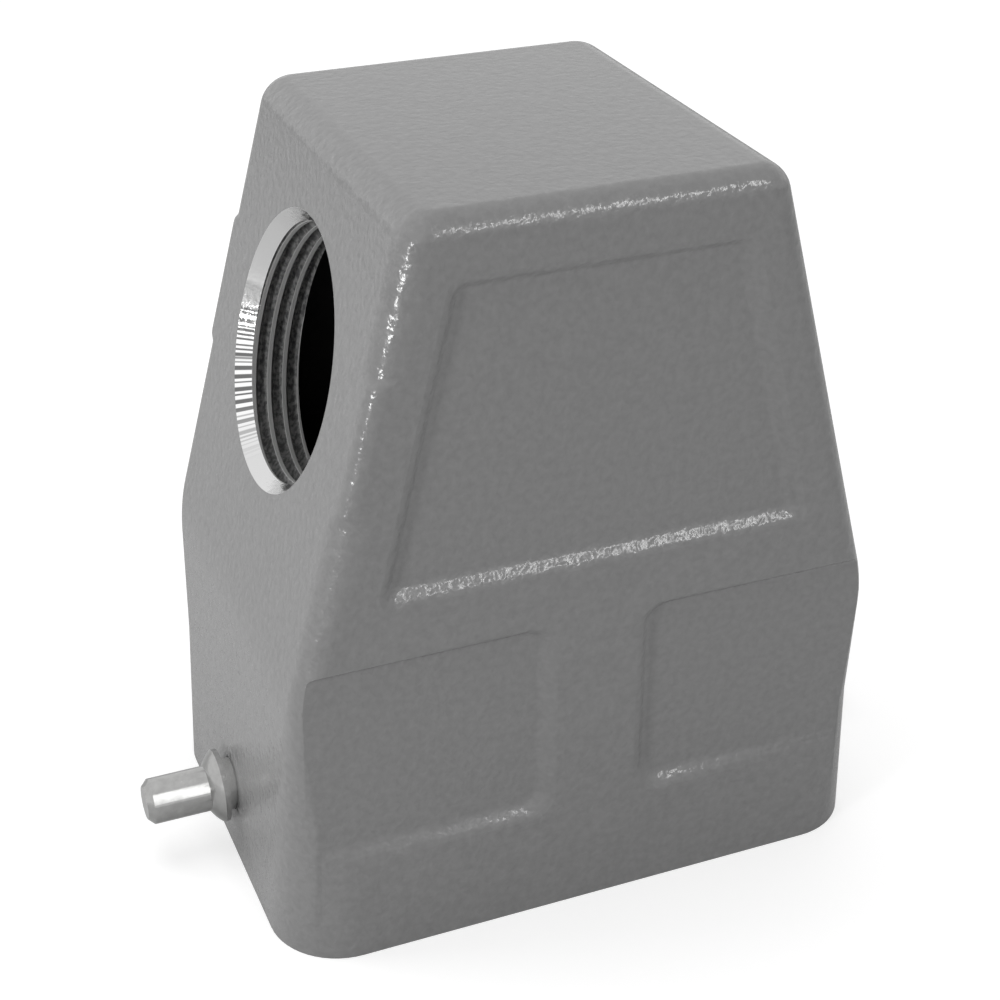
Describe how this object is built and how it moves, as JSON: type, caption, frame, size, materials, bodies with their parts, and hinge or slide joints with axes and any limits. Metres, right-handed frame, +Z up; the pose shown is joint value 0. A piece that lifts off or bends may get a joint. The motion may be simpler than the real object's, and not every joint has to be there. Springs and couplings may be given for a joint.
{
  "type": "heavy duty rectangular connector",
  "caption": "Die-cast connector hood with a threaded side cable entry and locking pegs, holding a screw terminal male insert with earth contacts.",
  "frame": {"origin": "middle of the hood's rim, on the plane of the rim, which is the bottom centre of the whole object", "axes": "+Z up from the rim to the roof; +X along the connector, with the cable entry on the -X end; Y across it"},
  "size_m": [0.0764, 0.042, 0.071],
  "materials": {
    "hood_paint": "grey powder coat with a fine orange peel, semi-gloss",
    "peg_steel": "turned and nickel plated",
    "insert_plastic": "black glass filled moulding",
    "contact_metal": "silver plated copper alloy",
    "guard_metal": "tinned spring strip",
    "screw_steel": "zinc plated",
    "earth_steel": "zinc plated pressing"
  },
  "bodies": {
    "root": {"hood": "hood_paint", "peg_entry_side": "peg_steel", "peg_far_side": "peg_steel", "insert_body": "insert_plastic", "terminal_screws": "screw_steel", "earth_plate_entry_side": "earth_steel", "earth_plate_far_side": "earth_steel", "earth_clamp_entry_side": "earth_steel", "earth_clamp_far_side": "earth_steel", "earth_screws": "screw_steel", "fixing_screws": "screw_steel", "contact_1": "contact_metal", "wire_guard_1": "guard_metal", "contact_2": "contact_metal", "wire_guard_2": "guard_metal", "contact_3": "contact_metal", "wire_guard_3": "guard_metal", "contact_4": "contact_metal", "wire_guard_4": "guard_metal", "contact_5": "contact_metal", "wire_guard_5": "guard_metal", "contact_6": "contact_metal", "wire_guard_6": "guard_metal"}
  },
  "joints": []
}
